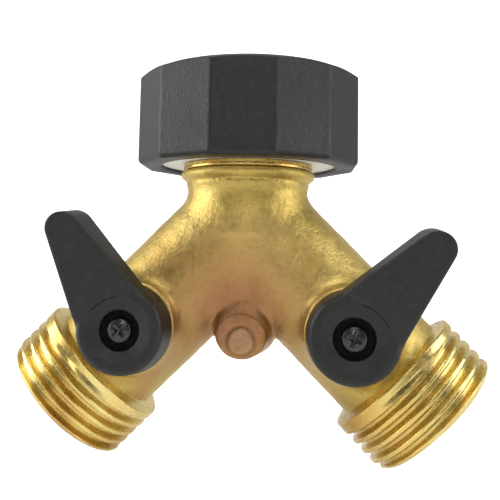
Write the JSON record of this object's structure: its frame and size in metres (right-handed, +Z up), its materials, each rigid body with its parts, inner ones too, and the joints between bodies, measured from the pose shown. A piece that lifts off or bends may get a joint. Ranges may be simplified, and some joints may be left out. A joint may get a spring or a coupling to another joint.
{
  "type": "hose splitter",
  "caption": "Brass Y hose splitter with a swivel inlet collar and a lever-operated quarter-turn shut-off valve on each threaded outlet.",
  "frame": {"origin": "centre of the hose washer's upper face, on the inlet's axis, where a hose end or tap nozzle seals", "axes": "+Z up out of the inlet; +X across both legs towards the right-hand outlet seen from the handles; -Y out of the handles' side"},
  "size_m": [0.086, 0.0438, 0.0706],
  "materials": {
    "cast_brass": "tumbled matte casting, bright machined threads",
    "machined_brass": "turned bright",
    "black_plastic": "moulded with a fine grain",
    "white_nylon": "moulded satin",
    "seat_plastic": "machined fluoropolymer",
    "washer_rubber": "moulded rubber",
    "seal_rubber": "moulded rubber",
    "spring_steel": "drawn wire",
    "ball_chrome": "polished plating",
    "screw_steel": "dark plating"
  },
  "bodies": {
    "splitter_body": {"body": "cast_brass", "hose_washer": "washer_rubber", "retaining_ring": "spring_steel", "left_seat_inlet": "seat_plastic", "left_seat_outlet": "seat_plastic", "left_seat_retainer": "machined_brass", "left_retainer_seal": "seal_rubber", "left_thrust_washer": "seat_plastic", "right_seat_inlet": "seat_plastic", "right_seat_outlet": "seat_plastic", "right_seat_retainer": "machined_brass", "right_retainer_seal": "seal_rubber", "right_thrust_washer": "seat_plastic"},
    "swivel_collar": {"collar_grip": "black_plastic", "collar_core": "white_nylon"},
    "left_valve": {"left_ball": "ball_chrome", "left_stem": "machined_brass", "left_stem_seals": "seal_rubber", "left_handle": "black_plastic", "left_handle_screw": "screw_steel"},
    "right_valve": {"right_ball": "ball_chrome", "right_stem": "machined_brass", "right_stem_seals": "seal_rubber", "right_handle": "black_plastic", "right_handle_screw": "screw_steel"}
  },
  "joints": [
    {"name": "collar_swivel", "type": "hinge", "parent": "splitter_body", "child": "swivel_collar", "pos_m": [0, 0, 0], "axis": [0, 0, 1], "continuous": true},
    {"name": "left_valve_turn", "type": "hinge", "parent": "splitter_body", "child": "left_valve", "pos_m": [-0.01937, 0, -0.03837], "axis": [0, 1, 0], "range_deg": [-16, 74]},
    {"name": "right_valve_turn", "type": "hinge", "parent": "splitter_body", "child": "right_valve", "pos_m": [0.01937, 0, -0.03837], "axis": [0, -1, 0], "range_deg": [-4.5, 85.5]}
  ]
}
